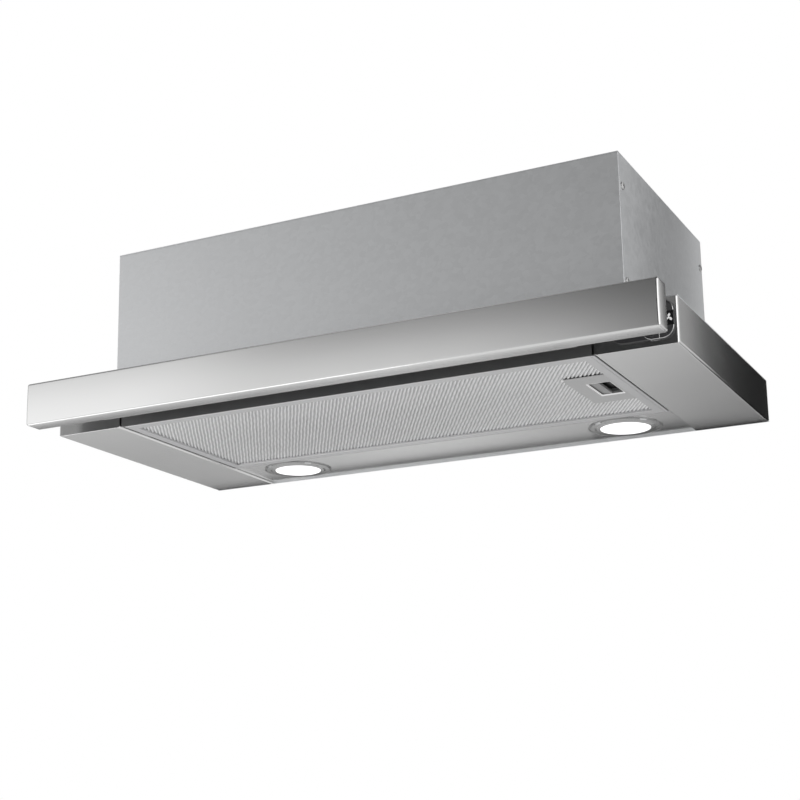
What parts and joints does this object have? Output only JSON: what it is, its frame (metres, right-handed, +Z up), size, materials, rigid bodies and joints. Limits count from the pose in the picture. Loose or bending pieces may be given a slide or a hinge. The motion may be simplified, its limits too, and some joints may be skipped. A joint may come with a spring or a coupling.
{
  "type": "range hood",
  "caption": "Pull out range hood: a flat canopy with a sliding front bar, grease filter drawer, lamps, switches and a ducted blower housing.",
  "frame": {"origin": "centre of the four fixing holes, on the canopy's top face, which meets the underside of the cabinet", "axes": "+X to the right across the front, +Y back to the wall, +Z up into the cabinet; the drawer pulls out along -Y"},
  "size_m": [0.598, 0.3295, 0.212],
  "materials": {
    "brushed_steel": "satin, brushed along the width",
    "galvanised_sheet": "dull, faintly spangled",
    "drawer_steel": "satin dark grey",
    "filter_aluminium": "satin",
    "latch_plastic": "fine matt",
    "grey_plastic": "fine matt",
    "black_gloss": "gloss",
    "black_plastic": "matt",
    "collar_plastic": "matt",
    "zinc_steel": "zinc plated",
    "rubber": "matt",
    "lamp_metal": "satin",
    "lamp_lens": "frosted white, lit"
  },
  "bodies": {
    "hood": {"canopy_top": "galvanised_sheet", "side_box_left": "brushed_steel", "side_box_right": "brushed_steel", "lamp_strip": "brushed_steel", "housing_front": "galvanised_sheet", "housing_back": "galvanised_sheet", "housing_end_left": "galvanised_sheet", "housing_end_right": "galvanised_sheet", "housing_top": "galvanised_sheet", "upper_filter_frame": "filter_aluminium", "upper_filter_mesh": "filter_aluminium", "outlet_collar": "collar_plastic", "damper_pin": "zinc_steel", "scroll_wall": "galvanised_sheet", "scroll_side_left": "galvanised_sheet", "scroll_side_right": "galvanised_sheet", "motor_body": "galvanised_sheet", "motor_bearings": "zinc_steel", "motor_bracket": "galvanised_sheet", "motor_mounts": "rubber", "slide_outer_left": "zinc_steel", "slide_outer_right": "zinc_steel", "control_plate": "grey_plastic", "control_window": "black_gloss", "switch_body": "black_plastic", "lamp_bezel_left": "lamp_metal", "lamp_bezel_right": "lamp_metal", "lamp_lens_left": "lamp_lens", "lamp_lens_right": "lamp_lens", "lamp_bodies": "lamp_metal", "lamp_driver": "black_plastic", "terminal_box": "black_plastic", "capacitor": "lamp_metal", "cable_gland": "black_plastic", "case_screws": "zinc_steel"},
    "drawer": {"drawer_front": "drawer_steel", "drawer_side_left": "drawer_steel", "drawer_side_right": "drawer_steel", "drawer_top": "drawer_steel", "drawer_back": "drawer_steel", "bar_shell": "brushed_steel", "bar_end_left": "brushed_steel", "bar_end_right": "brushed_steel", "bar_carrier": "drawer_steel", "bar_screws": "zinc_steel", "slide_inner_left": "zinc_steel", "slide_inner_right": "zinc_steel"},
    "slide_left": {"slide_mid_left": "zinc_steel"},
    "slide_right": {"slide_mid_right": "zinc_steel"},
    "filter": {"filter_frame": "filter_aluminium", "filter_mesh": "filter_aluminium", "latch_plate": "latch_plastic", "latch_spring": "zinc_steel"},
    "latch": {"latch_slider": "latch_plastic"},
    "rotor": {"impeller": "collar_plastic", "motor_shaft": "zinc_steel"},
    "flap_left": {"damper_flap_left": "collar_plastic"},
    "flap_right": {"damper_flap_right": "collar_plastic"},
    "light_switch": {"light_knob": "black_plastic"},
    "fan_switch": {"fan_knob": "black_plastic"}
  },
  "joints": [
    {"name": "drawer_slide", "type": "slide", "parent": "hood", "child": "drawer", "axis": [0, -1, 0], "range_m": [0, 0.18]},
    {"name": "slide_left_travel", "type": "slide", "parent": "hood", "child": "slide_left", "axis": [0, -1, 0], "range_m": [0, 0.09]},
    {"name": "slide_right_travel", "type": "slide", "parent": "hood", "child": "slide_right", "axis": [0, -1, 0], "range_m": [0, 0.09]},
    {"name": "filter_hinge", "type": "hinge", "parent": "drawer", "child": "filter", "pos_m": [-0.2266, 0, -0.0376], "axis": [0, 1, 0], "range_deg": [0, 35]},
    {"name": "latch_slide", "type": "slide", "parent": "filter", "child": "latch", "axis": [-1, 0, 0], "range_m": [0, 0.004], "stiffness_N_per_m": 400, "springref_m": -0.004, "deforming": ["latch_spring"]},
    {"name": "blower_spin", "type": "hinge", "parent": "hood", "child": "rotor", "pos_m": [0, -0.02, 0.075], "axis": [1, 0, 0], "continuous": true},
    {"name": "flap_left_hinge", "type": "hinge", "parent": "hood", "child": "flap_left", "pos_m": [0, 0.0335, 0.1416], "axis": [0, 1, 0], "range_deg": [0, 70]},
    {"name": "flap_right_hinge", "type": "hinge", "parent": "hood", "child": "flap_right", "pos_m": [0, 0.0335, 0.1416], "axis": [0, -1, 0], "range_deg": [0, 70]},
    {"name": "light_switch_slide", "type": "slide", "parent": "hood", "child": "light_switch", "axis": [1, 0, 0], "range_m": [0, 0.005]},
    {"name": "fan_switch_slide", "type": "slide", "parent": "hood", "child": "fan_switch", "axis": [1, 0, 0], "range_m": [0, 0.014]}
  ],
  "couplings": [
    {"joint": "slide_left_travel", "follows": "drawer_slide", "ratio": 0.5},
    {"joint": "slide_right_travel", "follows": "drawer_slide", "ratio": 0.5}
  ]
}
